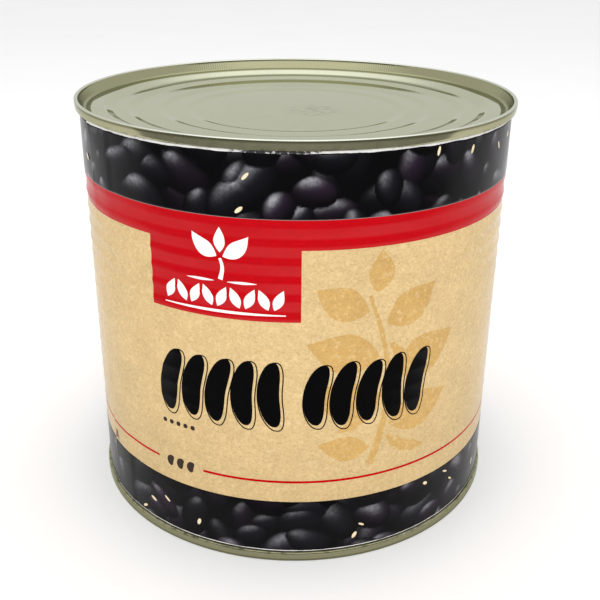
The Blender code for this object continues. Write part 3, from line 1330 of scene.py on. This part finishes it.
class TIN_OT_print_sprig(bpy.types.Operator):
    """Print the large pale bean plant in the brown field"""

    bl_idname = "tin.print_sprig"
    bl_label = "Print the bean plant"

    def execute(self, context):
        _, label, _, colours = settings()
        middle = way(label, 22)
        base = 37.0 * MM

        def stem(s):
            x = middle + (9.0 * math.sin(2.6 * s + 0.4) - 7.0) * MM
            return x, base + 62.0 * MM * s

        outlines = [ribbon_points(stem, lambda s: (2.8 - 1.6 * s) * MM, 30)]
        leaves = (
            (1.00, 4, 14, 9.5),
            (0.90, -64, 19, 12.0),
            (0.82, 58, 21, 13.0),
            (0.64, -76, 25, 15.0),
            (0.53, 68, 26, 16.0),
            (0.34, -70, 25, 15.0),
            (0.22, 74, 25, 15.0),
            (0.10, -82, 18, 10.0),
        )
        for s, angle, length, width in leaves:
            x, z = stem(s)
            side = 1 if angle > 0 else -1
            leaf = leaf_points(length * MM, width * MM, 0.8 * MM, 24)
            lean = -math.radians(angle)
            outlines.append(placed(leaf, x + side * 2.4 * MM, z + 0.8 * MM, lean, side < 0))
        for s, angle, length in ((0.72, 128, 20), (0.44, -132, 20), (0.17, 118, 18)):
            x, z = stem(s)
            side = 1 if angle > 0 else -1
            pod = pod_points(length * MM, 5.0 * MM)
            lean = -math.radians(angle)
            outlines.append(placed(pod, x + side * 2.6 * MM, z, lean, side < 0))
        shapes = [flat_shape("plant", outline) for outline in outlines]
        print_ink("bean_plant", shapes, label, self.ink(colours))
        return {"FINISHED"}

    def ink(self, colours):
        """A paler kraft, printed over the field."""
        material, tree, shader = new_material("sprig_ink", specular=PRINT_SPECULAR)
        place = tree.place()
        tone = kraft_tone(tree, place, colours.sprig, colours.fibre, 0.8)
        finish_print(tree, shader, tone, place)
        return material


# Width of the thin red line.
RULE_WIDTH = 0.9 * MM


class TIN_OT_print_rules(bpy.types.Operator):
    """Print the thin red line, the three small beans in its gap and the dots above"""

    bl_idname = "tin.print_rules"
    bl_label = "Print the red line"

    def execute(self, context):
        _, label, _, colours = settings()
        lines = []
        for left, right in ((-60.9, -37.9), (-23.7, 298.9)):
            ends = (way(label, left), way(label, right))
            bar = bar_points(*ends, label.rule, RULE_WIDTH, RULE_WIDTH, 2)
            lines.append(flat_shape("line", bar))
        print_ink("red_line", lines, label, print_material("red_ink", colours.red))
        marks = []
        middle = way(label, -30.6)
        for i in range(3):
            x = middle + (i - 1) * 4.3 * MM
            bean = kidney_points(4.4 * MM, 2.9 * MM, 0.10, 24)
            marks.append(flat_shape("bean", placed(bean, x, label.rule, math.radians(-14))))
        for i in range(5):
            x = middle + (i - 2) * 2.9 * MM
            dot = kidney_points(1.7 * MM, 1.7 * MM, 0.0, 16)
            marks.append(flat_shape("dot", placed(dot, x, 48.3 * MM)))
        ink = print_material("brown_ink", (0.035, 0.022, 0.015))
        print_ink("small_marks", marks, label, ink)
        return {"FINISHED"}


# The card in front, which the glossy faces mirror.
CARD_PLACE = (0.0, -1.80, 0.0006)
CARD_SIZE = (2.4, 3.4, 1)
CARD_TONE = (0.31, 0.31, 0.31)

# Soft lights: name, place, size and power.
LIGHTS = (
    ("overhead_box", (0.0, 0.15, 1.15), 1.1, 3.0),
    ("left_box", (-0.9, -0.45, 0.75), 0.7, 0.4),
    ("front_box", (0.05, -1.05, 0.50), 0.5, 4.8),
)
LIGHTS_AIM = Vector((0, 0, 0.07))

# The surroundings' light on all that doesn't mirror them.
EVEN_LIGHT = 0.97

# The camera's lens in mm, its place, and its yaw, pitch and roll in degrees.
CAMERA_LENS = 52.052
CAMERA_PLACE = (0, -0.318582, 0.204977)
CAMERA_TURN = (0.377, 23.663, 0.527)


class TIN_OT_set_stage(bpy.types.Operator):
    """Set the floor, the soft lights, the surroundings and the camera"""

    bl_idname = "tin.set_stage"
    bl_label = "Set the stage"

    def execute(self, context):
        colours = settings()[3]
        self.floor(colours)
        self.dark_card()
        self.lights()
        self.surroundings()
        self.camera()
        context.scene.view_settings.view_transform = "Standard"
        return {"FINISHED"}

    def floor(self, colours):
        """A plain pale floor."""
        start_piece()
        bpy.ops.mesh.primitive_plane_add(size=12)
        floor = bpy.context.object
        floor.name = "floor"
        material, tree, shader = new_material("pale_floor", roughness=0.9, specular=0.1)
        tone = tree.tint(colours.floor, tree.uneven(tree.place(), 6.0, 2.0, 0.985, 1.0))
        tree.link(tone, shader.inputs["Base Color"])
        floor.data.materials.append(material)

    def dark_card(self):
        """A dark card on the floor in front, which only the tin's glossy faces mirror."""
        start_piece()
        bpy.ops.mesh.primitive_plane_add(size=1)
        card = bpy.context.object
        card.name = "dark_card"
        card.location = CARD_PLACE
        card.scale = CARD_SIZE
        apply_place(card)
        material, tree, shader = new_material("dark_card", roughness=1.0, specular=0.0)
        tone = tree.tint(CARD_TONE, tree.uneven(tree.place(), 30.0, 2.0, 0.6, 1.2))
        tree.link(tone, shader.inputs["Base Color"])
        card.data.materials.append(material)
        card.visible_camera = False
        card.visible_diffuse = False
        card.visible_shadow = False

    def lights(self):
        """Square soft lights, turned to the tin."""
        for name, place, size, power in LIGHTS:
            start_piece()
            bpy.ops.object.light_add(type="AREA", location=place)
            light = bpy.context.object
            light.name = name
            light.data.shape = "SQUARE"
            light.data.size = size
            light.data.energy = power
            light.visible_glossy = False
            aim = LIGHTS_AIM - Vector(place)
            light.rotation_euler = aim.to_track_quat("-Z", "Y").to_euler()

    def surroundings(self):
        """Even white light. What the metal mirrors is brighter high up, dimmer in front."""
        world = bpy.data.worlds.new("soft_studio")
        bpy.context.scene.world = world
        world.use_nodes = True
        tree = Shading(world.node_tree)
        background = world.node_tree.nodes["Background"]
        _, y, z = tree.parts(tree.add("ShaderNodeTexCoord").outputs["Generated"])
        front = tree.remap(y, -0.25, -0.55, smooth=True)
        high = tree.times(tree.remap(z, 0.42, 0.55, smooth=True), front)
        high = tree.most(high, tree.remap(z, 0.55, 0.93, smooth=True))
        low = tree.remap(z, 0.42, 0.30, 0.0, 0.88, smooth=True)
        dark = tree.times(front, low)
        level = tree.times(tree.remap(high, 0.0, 1.0, 0.95, 1.65), tree.minus(1.0, dark))
        mirrored = tree.add("ShaderNodeLightPath").outputs["Is Glossy Ray"]
        inputs = {0: mirrored, 2: EVEN_LIGHT, 3: level}
        level = tree.add("ShaderNodeMix", inputs, data_type="FLOAT").outputs[0]
        tree.link(level, background.inputs["Strength"])
        background.inputs["Color"].default_value = (1, 1, 1, 1)

    def camera(self):
        """The camera, at the photograph's viewing angle."""
        data = bpy.data.cameras.new("camera")
        camera = bpy.data.objects.new("camera", data)
        bpy.context.scene.collection.objects.link(camera)
        data.sensor_width = 36.0
        data.lens = CAMERA_LENS
        data.clip_start = 0.01
        yaw, pitch, roll = (math.radians(a) for a in CAMERA_TURN)
        ahead = Vector(
            (math.sin(yaw) * math.cos(pitch), math.cos(yaw) * math.cos(pitch), -math.sin(pitch))
        )
        right = Vector((math.cos(yaw), -math.sin(yaw), 0))
        up = right.cross(ahead)
        side = right * math.cos(roll) + up * math.sin(roll)
        top = up * math.cos(roll) - right * math.sin(roll)
        turn = Matrix((side, top, -ahead)).transposed()
        camera.matrix_world = Matrix.Translation(CAMERA_PLACE) @ turn.to_4x4()
        bpy.context.scene.camera = camera


STEPS = (
    TIN_OT_press_ends,
    TIN_OT_finish_wall,
    TIN_OT_wrap_label,
    TIN_OT_print_beans,
    TIN_OT_print_sprig,
    TIN_OT_print_title,
    TIN_OT_print_emblem,
    TIN_OT_print_rules,
    TIN_OT_set_stage,
)


class VIEW3D_PT_bean_tin(bpy.types.Panel):
    """Lists the tin's steps and settings"""

    bl_label = "Bean tin"
    bl_idname = "VIEW3D_PT_bean_tin"
    bl_space_type = "VIEW_3D"
    bl_region_type = "UI"
    bl_category = "Bean tin"

    def draw(self, context):
        layout = self.layout
        for group in settings():
            box = layout.box()
            for key in group.bl_rna.properties.keys():
                if key not in {"rna_type", "name"}:
                    box.prop(group, key)
        for step in STEPS:
            layout.operator(step.bl_idname)


GROUPS = {
    "tin_sizes": TinSizes,
    "label_sizes": LabelSizes,
    "bean_sizes": BeanSizes,
    "tin_colours": TinColours,
}


def register():
    """Registers the groups, the steps and the panel."""
    for group in GROUPS.values():
        bpy.utils.register_class(group)
    for name, group in GROUPS.items():
        setattr(bpy.types.Scene, name, bpy.props.PointerProperty(type=group))
    for step in STEPS:
        bpy.utils.register_class(step)
    bpy.utils.register_class(VIEW3D_PT_bean_tin)


def unregister():
    """Takes away what register added."""
    bpy.utils.unregister_class(VIEW3D_PT_bean_tin)
    for step in reversed(STEPS):
        bpy.utils.unregister_class(step)
    for name in GROUPS:
        delattr(bpy.types.Scene, name)
    for group in reversed(list(GROUPS.values())):
        bpy.utils.unregister_class(group)


def main():
    """Runs the steps in order."""
    register()
    bpy.ops.tin.press_ends()
    bpy.ops.tin.finish_wall()
    bpy.ops.tin.wrap_label()
    bpy.ops.tin.print_beans()
    bpy.ops.tin.print_sprig()
    bpy.ops.tin.print_title()
    bpy.ops.tin.print_emblem()
    bpy.ops.tin.print_rules()
    bpy.ops.tin.set_stage()


if __name__ == "__main__":
    main()
